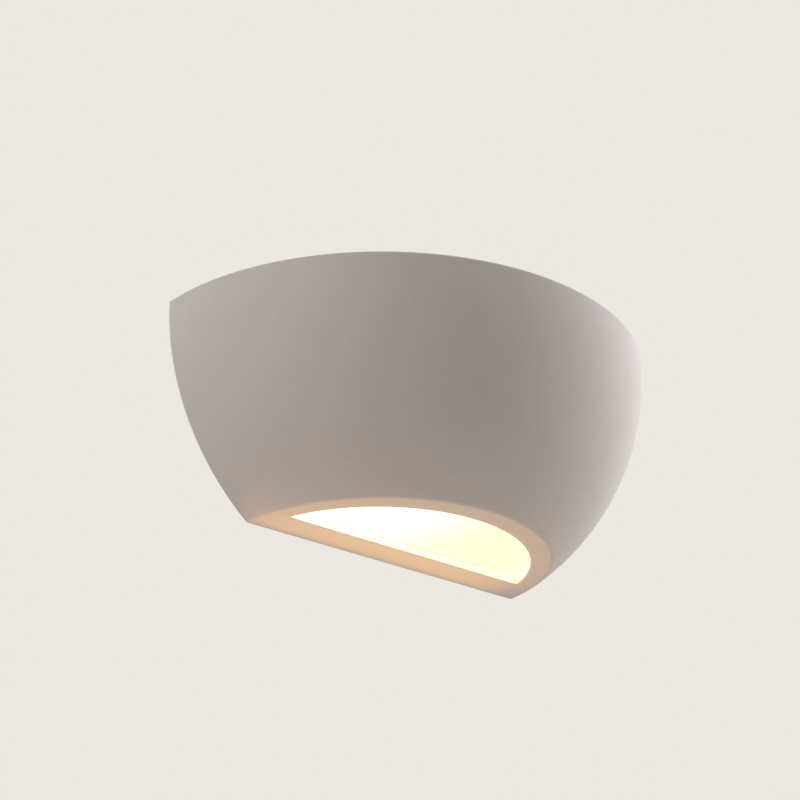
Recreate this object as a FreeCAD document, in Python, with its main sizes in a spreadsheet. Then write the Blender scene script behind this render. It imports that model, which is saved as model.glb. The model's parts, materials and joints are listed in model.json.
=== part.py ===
import FreeCAD, Part
import math
import os
import Sketcher
from FreeCAD import Placement, Rotation, Vector

# Uplighter wall sconce: a cast plaster half bowl that hangs on a steel wall bracket and hides
# a lampholder with one bulb. The origin is on the wall, midway between the two slots for the
# wall screws. +X runs along the wall, +Y into it, +Z up; the front faces -Y. Millimetres.

doc = FreeCAD.newDocument("sconce")
sheet = doc.addObject("Spreadsheet::Sheet", "Sizes")


class Size:
    """A number together with the sheet expression that it comes from."""

    def __init__(self, value, text):
        self.value = float(value)
        self.text = text

    def __add__(self, other):
        other = plain(other)
        return Size(self.value + other.value, f"({self.text} + {other.text})")

    def __sub__(self, other):
        other = plain(other)
        return Size(self.value - other.value, f"({self.text} - {other.text})")

    def __mul__(self, other):
        other = plain(other)
        return Size(self.value * other.value, f"({self.text} * {other.text})")

    def __truediv__(self, other):
        other = plain(other)
        return Size(self.value / other.value, f"({self.text} / {other.text})")

    def __neg__(self):
        return Size(-self.value, f"(0 - {self.text})")


def plain(number):
    """A bare number as a Size."""
    return number if isinstance(number, Size) else Size(number, f"{number:.9f}")


def root(square):
    """Square root."""
    return Size(math.sqrt(square.value), f"sqrt({square.text})")


aliases = []


def size(alias, value):
    """Write one driving dimension into the sheet: its name, and beside it its number."""
    aliases.append(alias)
    row = len(aliases)
    sheet.set(f"A{row}", alias)
    sheet.set(f"B{row}", str(value))
    sheet.setAlias(f"B{row}", alias)
    return Size(value, f"Sizes.{alias}")


# ---- driving dimensions -------------------------------------------------------------------

# plaster shade
rim_radius = size("rim_radius", 155.0)
foot_radius = size("foot_radius", 97.6)
shade_height = size("shade_height", 119.5)
side_radius = size("side_radius", 150.0)
shade_wall = size("shade_wall", 10.0)
floor_thickness = size("floor_thickness", 12.0)
foot_round = size("foot_round", 3.0)
rim_round = size("rim_round", 1.5)
floor_round = size("floor_round", 8.0)
back_gap = size("back_gap", 1.5)
mount_height = size("mount_height", 78.0)

# opening in the floor, and the pane that lies on its lip
ring_width = size("ring_width", 14.1)
opening_shift = size("opening_shift", 4.0)
bar_depth = size("bar_depth", 22.0)
lip_height = size("lip_height", 5.0)
ledge_width = size("ledge_width", 4.0)
lip_round = size("lip_round", 0.8)
pane_thickness = size("pane_thickness", 4.0)
pane_clearance = size("pane_clearance", 0.8)
pane_bevel = size("pane_bevel", 0.5)

# pads inside the shade, and the inserts cast into them
pad_inset = size("pad_inset", 27.0)
pad_depth = size("pad_depth", 36.0)
pad_height = size("pad_height", 40.0)
pad_round = size("pad_round", 6.0)
insert_diameter = size("insert_diameter", 8.0)
insert_length = size("insert_length", 12.5)
insert_bore_depth = size("insert_bore_depth", 12.0)

# thumbscrews
thumb_reach = size("thumb_reach", 20.0)
thumb_shank = size("thumb_shank", 4.0)
thumb_shank_length = size("thumb_shank_length", 13.0)
thumb_collar = size("thumb_collar", 11.0)
thumb_collar_length = size("thumb_collar_length", 2.0)
thumb_head = size("thumb_head", 16.0)
thumb_head_length = size("thumb_head_length", 8.0)
thumb_bevel = size("thumb_bevel", 1.0)
thread_clearance = size("thread_clearance", 0.05)
collar_clearance = size("collar_clearance", 0.05)

# wall bracket
plate_thickness = size("plate_thickness", 1.5)
plate_stand = size("plate_stand", 6.0)
plate_height = size("plate_height", 36.0)
bend_radius = size("bend_radius", 1.5)
flange_setback = size("flange_setback", 8.0)
ear_gap = size("ear_gap", 0.2)
ear_reach = size("ear_reach", 32.0)
ear_round = size("ear_round", 8.0)
ear_slot_clearance = size("ear_slot_clearance", 0.3)
wall_slot_spacing = size("wall_slot_spacing", 180.0)
wall_slot_width = size("wall_slot_width", 5.2)
wall_slot_length = size("wall_slot_length", 12.0)
cable_hole = size("cable_hole", 18.0)
cable_bore = size("cable_bore", 10.0)
grommet_flange = size("grommet_flange", 23.0)
grommet_lip = size("grommet_lip", 2.0)

# machine screws and nuts
screw_diameter = size("screw_diameter", 4.0)
screw_head = size("screw_head", 7.6)
screw_head_height = size("screw_head_height", 2.4)
screw_clearance = size("screw_clearance", 0.15)
nut_width = size("nut_width", 7.0)
nut_height = size("nut_height", 3.0)
small_screw_diameter = size("small_screw_diameter", 3.0)
small_screw_head = size("small_screw_head", 5.6)
small_screw_head_height = size("small_screw_head_height", 1.8)
driver_slot = size("driver_slot", 0.9)

# lampholder and its arm
bulb_reach = size("bulb_reach", 65.0)
socket_mouth = size("socket_mouth", 22.0)
holder_length = size("holder_length", 44.0)
holder_diameter = size("holder_diameter", 38.0)
holder_base_diameter = size("holder_base_diameter", 41.0)
holder_base_length = size("holder_base_length", 14.0)
holder_round = size("holder_round", 1.5)
holder_floor = size("holder_floor", 12.0)
shell_bore = size("shell_bore", 26.55)
shell_thickness = size("shell_thickness", 0.475)
shell_setback = size("shell_setback", 1.0)
shell_length = size("shell_length", 26.0)
shell_hole = size("shell_hole", 21.0)
holder_screw_spacing = size("holder_screw_spacing", 18.0)
contact_thickness = size("contact_thickness", 0.6)
contact_width = size("contact_width", 6.0)
rivet_offset = size("rivet_offset", 6.0)
contact_clearance = size("contact_clearance", 0.1)
rivet_diameter = size("rivet_diameter", 2.4)
rivet_head = size("rivet_head", 4.4)
rivet_head_height = size("rivet_head_height", 0.9)
rivet_length = size("rivet_length", 7.0)
arm_thickness = size("arm_thickness", 1.5)
arm_height = size("arm_height", 24.0)
arm_foot = size("arm_foot", 18.0)
arm_head = size("arm_head", 34.0)
arm_wire_hole = size("arm_wire_hole", 10.0)
arm_screw_spacing = size("arm_screw_spacing", 14.0)

# bulb
seat_depth = size("seat_depth", 28.0)
bulb_diameter = size("bulb_diameter", 60.0)
bulb_length = size("bulb_length", 108.0)
cap_diameter = size("cap_diameter", 26.4)
cap_length = size("cap_length", 26.0)
cap_wall = size("cap_wall", 0.6)
cap_taper = size("cap_taper", 2.0)
insulator_length = size("insulator_length", 3.0)
insulator_tip = size("insulator_tip", 10.0)
bulb_contact_length = size("bulb_contact_length", 1.0)
bulb_contact_diameter = size("bulb_contact_diameter", 8.0)
bulb_neck = size("bulb_neck", 27.8)
bulb_neck_length = size("bulb_neck_length", 4.0)
bulb_spigot = size("bulb_spigot", 6.0)
bulb_joint = size("bulb_joint", 42.0)
bulb_side_radius = size("bulb_side_radius", 60.0)
bulb_wall = size("bulb_wall", 1.6)
diffuser_wall = size("diffuser_wall", 1.2)
housing_rim = size("housing_rim", 56.8)
led_board_diameter = size("led_board_diameter", 52.0)
led_board_thickness = size("led_board_thickness", 1.6)
led_board_depth = size("led_board_depth", 3.0)
led_ring = size("led_ring", 30.0)
led_size = size("led_size", 3.5)
led_height = size("led_height", 0.8)
driver_board_length = size("driver_board_length", 26.0)
driver_board_width = size("driver_board_width", 18.0)
driver_board_thickness = size("driver_board_thickness", 1.6)

# terminal block
block_left = size("block_left", 14.0)
pole_pitch = size("pole_pitch", 10.0)
block_height = size("block_height", 20.0)
block_base = size("block_base", 9.0)
tower_height = size("tower_height", 6.0)
tower_lean = size("tower_lean", 0.7)
tower_inner = size("tower_inner", 3.2)
tower_notch = size("tower_notch", 2.0)
barrel_diameter = size("barrel_diameter", 5.0)
barrel_length = size("barrel_length", 18.0)
barrel_bore = size("barrel_bore", 3.2)
barrel_depth = size("barrel_depth", 5.0)
chimney_diameter = size("chimney_diameter", 4.4)
terminal_screw_offset = size("terminal_screw_offset", 6.3)
terminal_screw_length = size("terminal_screw_length", 5.5)

# earth connection
earth_left = size("earth_left", 30.0)
lug_thickness = size("lug_thickness", 0.8)
lug_diameter = size("lug_diameter", 8.4)
lug_barrel_diameter = size("lug_barrel_diameter", 4.0)
lug_barrel_length = size("lug_barrel_length", 7.0)
lug_reach = size("lug_reach", 13.0)
washer_thickness = size("washer_thickness", 0.8)
washer_diameter = size("washer_diameter", 8.0)

# wires
wire_diameter = size("wire_diameter", 2.4)
wire_drop = size("wire_drop", 12.0)
wire_overrun = size("wire_overrun", 15.0)
wire_spacing = size("wire_spacing", 5.2)
wire_socket_depth = size("wire_socket_depth", 5.0)

doc.recompute()

# ---- places worked out from them ------------------------------------------------------------

bottom = -mount_height
top = shade_height - mount_height
floor = bottom + floor_thickness
lip_top = bottom + lip_height
opening_radius = foot_radius + opening_shift - ring_width
rebate_radius = opening_radius + ledge_width
pad_face = rim_radius - pad_inset
ear_face = pad_face - ear_gap
ear_inside = ear_face - plate_thickness
plate_front = -plate_stand
plate_back = plate_front + plate_thickness
holder_back = socket_mouth + holder_length
holder_bottom = holder_back - holder_floor
shell_outside = shell_bore / 2 + shell_thickness
arm_back = holder_back + arm_thickness
foot_front = plate_front - arm_thickness
bulb_seat = socket_mouth + seat_depth
screw_bore = screw_diameter / 2 + screw_clearance
barrel_line = plate_front - barrel_depth
tower_front = plate_front - block_base - tower_height
lug_line = plate_front - lug_barrel_diameter / 2
lug_bore = lug_barrel_length - lug_thickness


# ---- drawing helpers ------------------------------------------------------------------------

class Arc:
    """A round stretch of an outline: its end, its centre, and 1 for anticlockwise or -1."""

    def __init__(self, end, centre, turn):
        self.end = end
        self.centre = centre
        self.turn = turn


def flat(point):
    """A pair of Sizes as a sketch vector."""
    return Vector(plain(point[0]).value, plain(point[1]).value, 0)


def arc_centre(start, end, radius, side):
    """Centre of the circle through two points, to the left (1) or right (-1) of the way along."""
    run = plain(end[0]) - start[0]
    rise = plain(end[1]) - start[1]
    chord = root(run * run + rise * rise)
    height = root(plain(radius) * radius - chord * chord / 4)
    return ((plain(start[0]) + end[0]) / 2 - height * rise / chord * side,
            (plain(start[1]) + end[1]) / 2 + height * run / chord * side)


def bind(item, path, value):
    """Tie a property to the sheet."""
    item.setExpression(path, plain(value).text)


def pin(sketch, shape, corner, point, axes="xy"):
    """Fix a point of a sketch by its distances from the sketch's origin."""
    for axis, kind, distance in (("x", "DistanceX", point[0]), ("y", "DistanceY", point[1])):
        if axis in axes:
            value = plain(distance)
            number = sketch.addConstraint(
                Sketcher.Constraint(kind, -1, 1, shape, corner, value.value))
            bind(sketch, f"Constraints[{number}]", value)


def steep_axis(point, centre):
    """The axis along which a circle runs most nearly at one of its points."""
    spoke = flat(point) - flat(centre)
    return "x" if abs(spoke.y) > abs(spoke.x) else "y"


def outline(sketch, start, *steps):
    """Draw a closed outline from a start point through points (lines) and Arcs."""
    here = start
    after_arc = None
    if isinstance(steps[-1], Arc):
        after_arc = steep_axis(start, steps[-1].centre)
    first = last = None
    for step in steps + (start,):
        round_step = isinstance(step, Arc)
        end = step.end if round_step else step
        a = flat(here)
        b = flat(end)
        if (a - b).Length < 1e-6:
            continue
        if round_step:
            middle = flat(step.centre)
            circle = Part.Circle(middle, Vector(0, 0, 1), (a - middle).Length)
            angles = [math.atan2(p.y - middle.y, p.x - middle.x) for p in (a, b)]
            if step.turn < 0:
                angles.reverse()
            shape = sketch.addGeometry(Part.ArcOfCircle(circle, *angles), False)
            begin, finish = (1, 2) if step.turn > 0 else (2, 1)
            pin(sketch, shape, 3, step.centre)
        else:
            shape = sketch.addGeometry(Part.LineSegment(a, b), False)
            begin, finish = 1, 2
        if last:
            sketch.addConstraint(Sketcher.Constraint("Coincident", *last, shape, begin))
        pin(sketch, shape, begin, here, after_arc or "xy")
        first = first or (shape, begin)
        last = (shape, finish)
        here = end
        after_arc = steep_axis(end, step.centre) if round_step else None
    sketch.addConstraint(Sketcher.Constraint("Coincident", *last, *first))


def ring(sketch, centre, radius):
    """Draw a circle."""
    shape = sketch.addGeometry(
        Part.Circle(flat(centre), Vector(0, 0, 1), plain(radius).value), False)
    pin(sketch, shape, 3, centre)
    number = sketch.addConstraint(Sketcher.Constraint("Radius", shape, plain(radius).value))
    bind(sketch, f"Constraints[{number}]", radius)


def box_outline(sketch, low, high):
    """Draw a rectangle from its low and high corners."""
    outline(sketch, low, (high[0], low[1]), high, (low[0], high[1]))


def slot_outline(sketch, left, right, level, radius):
    """Draw a slot along the sketch's first axis, from one end's centre to the other's."""
    outline(sketch, (left, level - radius), (right, level - radius),
            Arc((right, level + radius), (right, level), 1), (left, level + radius),
            Arc((left, level - radius), (left, level), 1))


def new_body(label):
    """Start a piece."""
    body = doc.addObject("PartDesign::Body", label)
    body.Label = label
    return body


def sketch_on(body, role, lift=0.0):
    """A sketch on one of the body's own planes, lifted along the plane's normal."""
    sketch = body.newObject("Sketcher::SketchObject", f"{body.Label}_sketch")
    plane = [item for item in body.Origin.OriginFeatures if item.Role == role][0]
    sketch.AttachmentSupport = [(plane, "")]
    sketch.MapMode = "FlatFace"
    bind(sketch, "AttachmentOffset.Base.z", lift)
    return sketch


def volume_of(body):
    """Volume of a piece as far as it is made."""
    return body.Tip.Shape.Volume if body.Tip else 0.0


def check_change(body, before, grows):
    """Recompute, and make sure that the last feature added or took away material."""
    doc.recompute()
    change = volume_of(body) - before
    if abs(change) < 1e-6 or (change > 0) != grows:
        raise RuntimeError(f"{body.Tip.Label} changed the volume by {change:.6f}")


def extrude(body, kind, sketch, length, both, reverse):
    """Run a sketch along its normal, to one side or half to each."""
    before = volume_of(body)
    feature = body.newObject(f"PartDesign::{kind}", f"{body.Label}_{kind.lower()}")
    feature.Profile = sketch
    bind(feature, "Length", length)
    feature.SideType = "Symmetric" if both else "One side"
    feature.Reversed = reverse
    check_change(body, before, kind == "Pad")


def pad(body, sketch, length, both=False, reverse=False):
    """Add material by extruding a sketch."""
    extrude(body, "Pad", sketch, length, both, reverse)


def cut(body, sketch, length, both=False, reverse=False):
    """Take material away by extruding a sketch."""
    extrude(body, "Pocket", sketch, length, both, reverse)


def spin(body, sketch, axis):
    """Add material by turning a sketch once round one of its axes."""
    before = volume_of(body)
    feature = body.newObject("PartDesign::Revolution", f"{body.Label}_turned")
    feature.Profile = sketch
    feature.ReferenceAxis = (sketch, [axis])
    feature.Angle = 360
    check_change(body, before, True)


def round_edges(body, radius, wanted, kind="Fillet"):
    """Round or bevel those edges of the body that the test picks."""
    base = body.Tip
    names = [f"Edge{i + 1}" for i, edge in enumerate(base.Shape.Edges) if wanted(edge)]
    feature = body.newObject(f"PartDesign::{kind}", f"{body.Label}_{kind.lower()}")
    feature.Base = (base, names)
    bind(feature, "Radius" if kind == "Fillet" else "Size", radius)
    doc.recompute()


def is_near(edge, **places):
    """True when both ends and the middle of an edge lie at the given coordinates."""
    middle = edge.valueAt((edge.FirstParameter + edge.LastParameter) / 2)
    points = [vertex.Point for vertex in edge.Vertexes] + [middle]
    return all(abs(getattr(point, axis) - plain(place).value) < 1e-4
               for point in points for axis, place in places.items())


def place(body, x=0.0, y=0.0, z=0.0, axis=None, angle=0.0):
    """Put a piece drawn about its own origin where it belongs."""
    if axis:
        body.Placement = Placement(Vector(), Rotation(axis, angle))
    bind(body, "Placement.Base.x", x)
    bind(body, "Placement.Base.y", y)
    bind(body, "Placement.Base.z", z)
    return body


# ---- plaster shade --------------------------------------------------------------------------

def bowl_side(radius, foot, rim, low, high):
    """Side of the bowl in section: start, end and centre of one arc about the same centre."""
    centre = arc_centre((foot_radius, bottom), (rim_radius, top), side_radius, 1)
    lower = centre[0] + root(radius * radius - (centre[1] - low) * (centre[1] - low))
    upper = centre[0] + root(radius * radius - (high - centre[1]) * (high - centre[1]))
    return (foot or lower, low), (rim or upper, high), centre


def opening_outline(sketch, radius, back):
    """The D of the opening: an arc about a centre behind the wall, and a straight back."""
    half = root(radius * radius - (back + opening_shift) * (back + opening_shift))
    outline(sketch, (half, -back), (-half, -back),
            Arc((half, -back), (0.0, opening_shift), 1))


def make_shade():
    """A half bowl with an open top and back, cast in one piece with its floor."""
    blank = new_body("shade_blank")
    sketch = sketch_on(blank, "XZ_Plane")
    start, end, centre = bowl_side(side_radius, foot_radius, rim_radius, bottom, top)
    outline(sketch, (0.0, bottom), start, Arc(end, centre, 1), (0.0, top))
    spin(blank, sketch, "V_Axis")
    round_edges(blank, foot_round, lambda edge: is_near(edge, z=bottom))
    round_edges(blank, rim_round, lambda edge: is_near(edge, z=top))
    sketch = sketch_on(blank, "XY_Plane", bottom)
    reach = rim_radius + side_radius
    box_outline(sketch, (-reach, -back_gap), (reach, reach))
    cut(blank, sketch, shade_height * 2, both=True)
    sketch = sketch_on(blank, "XY_Plane", bottom)
    opening_outline(sketch, opening_radius, bar_depth)
    cut(blank, sketch, shade_height * 3, both=True)
    sketch = sketch_on(blank, "XY_Plane", lip_top)
    opening_outline(sketch, rebate_radius, bar_depth - ledge_width)
    cut(blank, sketch, shade_height * 2, reverse=True)
    sketch = sketch_on(blank, "YZ_Plane")
    ring(sketch, (-thumb_reach, 0.0), insert_diameter / 2)
    cut(blank, sketch, (pad_face + insert_length) * 2, both=True)
    round_edges(blank, lip_round, lambda edge: is_near(edge, z=bottom) and is_on_opening(edge))

    hollow = new_body("shade_hollow")
    sketch = sketch_on(hollow, "XZ_Plane")
    inner = side_radius - shade_wall
    mouth = top - rim_round
    start, end, centre = bowl_side(inner, None, None, floor, mouth)
    lip = (end[0] + rim_round, top)
    outline(sketch, (0.0, floor), start, Arc(end, centre, 1),
            Arc(lip, (end[0] + rim_round, mouth), -1), (lip[0], top + rim_round),
            (0.0, top + rim_round))
    spin(hollow, sketch, "V_Axis")
    round_edges(hollow, floor_round, lambda edge: is_near(edge, z=floor))
    sketch = sketch_on(hollow, "XY_Plane")
    for side in (1, -1):
        face = pad_face * side
        shoulder = (pad_face + pad_round) * side
        far = reach * side
        outline(sketch, (face, back_gap), (face, pad_round - pad_depth),
                Arc((shoulder, -pad_depth), (shoulder, pad_round - pad_depth), side),
                (far, -pad_depth), (far, back_gap))
    cut(hollow, sketch, pad_height, both=True)

    shade = doc.addObject("Part::Cut", "plaster_shade")
    shade.Label = "plaster_shade"
    shade.Base = blank
    shade.Tool = hollow
    return shade


def is_on_opening(edge):
    """True for the edges of the D opening: its arc and its straight back."""
    middle = edge.valueAt((edge.FirstParameter + edge.LastParameter) / 2)
    from_centre = math.hypot(middle.x, middle.y - opening_shift.value)
    on_arc = abs(from_centre - opening_radius.value) < 1e-3 and middle.y < -bar_depth.value
    return on_arc or is_near(edge, y=-bar_depth)


def make_pane():
    """A pane that lies on the lip inside the opening."""
    body = new_body("glass_pane")
    sketch = sketch_on(body, "XY_Plane", lip_top)
    opening_outline(sketch, rebate_radius - pane_clearance,
                    bar_depth - ledge_width + pane_clearance)
    pad(body, sketch, pane_thickness)
    round_edges(body, pane_bevel, lambda edge: is_near(edge, z=lip_top)
                or is_near(edge, z=lip_top + pane_thickness), "Chamfer")
    return body


def make_insert(side, name):
    """A blind brass insert, cast into the pad with its mouth flush with the pad's face."""
    body = new_body(name)
    sketch = sketch_on(body, "XZ_Plane")
    bore = thumb_shank / 2 + thread_clearance
    outline(sketch, (bore, 0.0), (insert_diameter / 2, 0.0),
            (insert_diameter / 2, insert_length), (0.0, insert_length),
            (0.0, insert_bore_depth), (bore, insert_bore_depth))
    spin(body, sketch, "V_Axis")
    return place(body, pad_face * side, -thumb_reach, 0.0, Vector(0, 1, 0), 90 * side)


def make_thumbscrew(side, name):
    """A turned thumbscrew that clamps the bracket's ear against the shade's pad."""
    body = new_body(name)
    sketch = sketch_on(body, "XZ_Plane")
    shank = thumb_shank / 2
    collar = thumb_collar / 2
    head = thumb_head / 2
    back = -thumb_collar_length - thumb_head_length
    outline(sketch, (0.0, thumb_shank_length), (0.0, back), (head - thumb_bevel, back),
            (head, back + thumb_bevel), (head, -thumb_collar_length - thumb_bevel),
            (head - thumb_bevel, -thumb_collar_length), (collar, -thumb_collar_length),
            (collar, 0.0), (shank, 0.0), (shank, thumb_shank_length - thumb_bevel),
            (shank - thumb_bevel, thumb_shank_length))
    spin(body, sketch, "V_Axis")
    seat = (ear_inside - collar_clearance) * side
    return place(body, seat, -thumb_reach, 0.0, Vector(0, 1, 0), 90 * side)


# ---- wall bracket ---------------------------------------------------------------------------

def make_bracket():
    """A pressed steel strip: long edges turned back to the wall, ends bent forward as ears."""
    body = new_body("wall_bracket")
    outer_bend = bend_radius + plate_thickness
    sketch = sketch_on(body, "XY_Plane")
    far = ear_face - outer_bend
    near = ear_inside - bend_radius
    outline(sketch, (-far, plate_back), (far, plate_back),
            Arc((ear_face, plate_back - outer_bend), (far, plate_back - outer_bend), -1),
            (ear_face, -ear_reach), (ear_inside, -ear_reach),
            (ear_inside, plate_front - bend_radius),
            Arc((near, plate_front), (near, plate_front - bend_radius), 1),
            (-near, plate_front),
            Arc((-ear_inside, plate_front - bend_radius), (-near, plate_front - bend_radius), 1),
            (-ear_inside, -ear_reach), (-ear_face, -ear_reach),
            (-ear_face, plate_back - outer_bend),
            Arc((-far, plate_back), (-far, plate_back - outer_bend), -1))
    pad(body, sketch, plate_height, both=True)
    edge_level = plate_height / 2
    bend_level = edge_level - outer_bend
    bend_line = plate_front + outer_bend
    flange_length = (ear_face - flange_setback) * 2
    sketch = sketch_on(body, "YZ_Plane")
    for side in (1, -1):
        box_outline(sketch, (plate_front * 2, bend_level * side), (0.0, plate_height * side))
    cut(body, sketch, flange_length, both=True)
    sketch = sketch_on(body, "YZ_Plane")
    for side in (1, -1):
        centre = (bend_line, bend_level * side)
        outline(sketch, (plate_front, bend_level * side),
                Arc((bend_line, edge_level * side), centre, -side), (0.0, edge_level * side),
                (0.0, (edge_level - plate_thickness) * side),
                (bend_line, (edge_level - plate_thickness) * side),
                Arc((plate_back, bend_level * side), centre, side))
    pad(body, sketch, flange_length, both=True)
    round_edges(body, ear_round, lambda edge: is_near(edge, y=-ear_reach, z=edge_level)
                or is_near(edge, y=-ear_reach, z=-edge_level))
    slot_radius = thumb_shank / 2 + ear_slot_clearance
    sketch = sketch_on(body, "YZ_Plane")
    outline(sketch, (-ear_reach - ear_round, -slot_radius), (-thumb_reach, -slot_radius),
            Arc((-thumb_reach, slot_radius), (-thumb_reach, 0.0), 1),
            (-ear_reach - ear_round, slot_radius))
    cut(body, sketch, ear_face * 3, both=True)
    sketch = sketch_on(body, "XZ_Plane")
    half_run = (wall_slot_length - wall_slot_width) / 2
    for side in (1, -1):
        middle = wall_slot_spacing / 2 * side
        slot_outline(sketch, middle - half_run, middle + half_run, plain(0.0),
                     wall_slot_width / 2)
    ring(sketch, (0.0, 0.0), cable_hole / 2)
    for point in arm_screw_points() + [(-earth_left, 0.0)]:
        ring(sketch, point, screw_bore)
    for point in block_screw_points():
        ring(sketch, point, small_screw_diameter / 2)
    cut(body, sketch, plate_stand * 4, both=True)
    return body


def make_grommet():
    """A soft ring snapped into the cable hole; its groove takes the plate."""
    body = new_body("cable_grommet")
    sketch = sketch_on(body, "XY_Plane")
    bore = cable_bore / 2
    groove = cable_hole / 2
    flange = grommet_flange / 2
    front = plate_front - grommet_lip
    back = plate_back + grommet_lip
    outline(sketch, (bore, front), (flange - grommet_lip, front),
            Arc((flange, plate_front), (flange - grommet_lip, plate_front), 1),
            (groove, plate_front), (groove, plate_back), (flange, plate_back),
            Arc((flange - grommet_lip, back), (flange - grommet_lip, plate_back), 1),
            (bore, back))
    spin(body, sketch, "V_Axis")
    return body


def arm_screw_points():
    """Where the arm's foot is screwed to the plate, in X and Z."""
    middle = holder_back - arm_foot / 2
    return [(middle, arm_screw_spacing / 2), (middle, -arm_screw_spacing / 2)]


def block_screw_points():
    """Where the terminal block is screwed to the plate, in X and Z: between its poles."""
    return [(block_left + pole_pitch, 0.0), (block_left + pole_pitch * 2, 0.0)]


# ---- screws, nuts and washers ---------------------------------------------------------------

def make_screw(name, diameter, head, head_height, length):
    """A slotted screw along its own +Z: a straight edge and a dome over the origin's plane."""
    body = new_body(name)
    sketch = sketch_on(body, "XZ_Plane")
    edge = head_height / 2
    rise = head_height - edge
    dome = (head * head / 4 + rise * rise) / (rise * 2)
    outline(sketch, (0.0, length), (0.0, -head_height),
            Arc((head / 2, -edge), (0.0, dome - head_height), 1),
            (head / 2, 0.0), (diameter / 2, 0.0), (diameter / 2, length))
    spin(body, sketch, "V_Axis")
    sketch = sketch_on(body, "XY_Plane", -head_height)
    box_outline(sketch, (-head, -driver_slot / 2), (head, driver_slot / 2))
    cut(body, sketch, edge, reverse=True)
    return body


def make_nut(name):
    """A hexagon nut along its own +Z."""
    body = new_body(name)
    sketch = sketch_on(body, "XY_Plane")
    corner = nut_width / math.sqrt(3)
    points = [(corner * math.cos(math.radians(60 * i)), corner * math.sin(math.radians(60 * i)))
              for i in range(6)]
    outline(sketch, *points)
    ring(sketch, (0.0, 0.0), screw_diameter / 2)
    pad(body, sketch, nut_height)
    return body


INTO_WALL = (Vector(1, 0, 0), -90)
ALONG_X = (Vector(0, 1, 0), 90)


def make_arm():
    """A bent steel arm: a foot on the plate, and a leg that ends in a round head."""
    body = new_body("holder_arm")
    sketch = sketch_on(body, "XY_Plane")
    foot_end = holder_back - arm_foot
    outer_bend = bend_radius + arm_thickness
    leg_end = -bulb_reach
    outline(sketch, (foot_end, plate_front), (arm_back - outer_bend, plate_front),
            Arc((arm_back, plate_front - outer_bend),
                (arm_back - outer_bend, plate_front - outer_bend), -1),
            (arm_back, leg_end), (holder_back, leg_end), (holder_back, foot_front - bend_radius),
            Arc((holder_back - bend_radius, foot_front),
                (holder_back - bend_radius, foot_front - bend_radius), 1),
            (foot_end, foot_front))
    pad(body, sketch, arm_height, both=True)
    sketch = sketch_on(body, "YZ_Plane", holder_back)
    ring(sketch, (-bulb_reach, 0.0), arm_head / 2)
    pad(body, sketch, arm_thickness)
    sketch = sketch_on(body, "YZ_Plane", holder_back)
    ring(sketch, (-bulb_reach, 0.0), arm_wire_hole / 2)
    for side in (1, -1):
        ring(sketch, (-bulb_reach, holder_screw_spacing / 2 * side), screw_bore)
    cut(body, sketch, arm_thickness * 4, both=True)
    sketch = sketch_on(body, "XZ_Plane", plate_stand)
    for point in arm_screw_points():
        ring(sketch, point, screw_bore)
    cut(body, sketch, arm_thickness * 4, both=True)
    return body


def make_arm_fasteners():
    """Two machine screws through foot and plate, each with a nut behind the plate."""
    pieces = []
    for (x, z), where in zip(arm_screw_points(), ("upper", "lower")):
        length = arm_thickness + plate_thickness + nut_height
        screw = make_screw(f"arm_screw_{where}", screw_diameter, screw_head,
                           screw_head_height, length)
        pieces.append(place(screw, x, foot_front, z, *INTO_WALL))
        nut = make_nut(f"arm_nut_{where}")
        pieces.append(place(nut, x, plate_back, z, *INTO_WALL))
    return pieces


# ---- lampholder -----------------------------------------------------------------------------

def make_holder():
    """A glazed porcelain body, turned about the bulb's axis."""
    body = new_body("lampholder_body")
    sketch = sketch_on(body, "XY_Plane")
    bore = shell_outside
    outer = holder_diameter / 2
    base = holder_base_diameter / 2
    shoulder = holder_back - holder_base_length
    soft = holder_round
    outline(sketch, (socket_mouth, bore), (holder_bottom, bore), (holder_bottom, 0.0),
            (holder_back, 0.0), (holder_back, base - soft),
            Arc((holder_back - soft, base), (holder_back - soft, base - soft), 1),
            (shoulder + soft, base),
            Arc((shoulder, base - soft), (shoulder + soft, base - soft), 1),
            (shoulder, outer), (socket_mouth + soft, outer),
            Arc((socket_mouth, outer - soft), (socket_mouth + soft, outer - soft), 1))
    spin(body, sketch, "H_Axis")
    sketch = sketch_on(body, "YZ_Plane", holder_back)
    for side in (1, -1):
        ring(sketch, (0.0, holder_screw_spacing / 2 * side), screw_bore)
    cut(body, sketch, holder_floor * 2, both=True)
    sketch = sketch_on(body, "YZ_Plane", holder_back)
    for side in (1, -1):
        ring(sketch, (wire_spacing / 2 * side, 0.0), wire_diameter / 2)
    cut(body, sketch, wire_socket_depth * 2, both=True)
    sketch = sketch_on(body, "YZ_Plane", holder_bottom)
    ring(sketch, (rivet_offset, 0.0), rivet_diameter / 2)
    cut(body, sketch, rivet_length * 2, both=True)
    return place(body, y=-bulb_reach)


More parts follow.
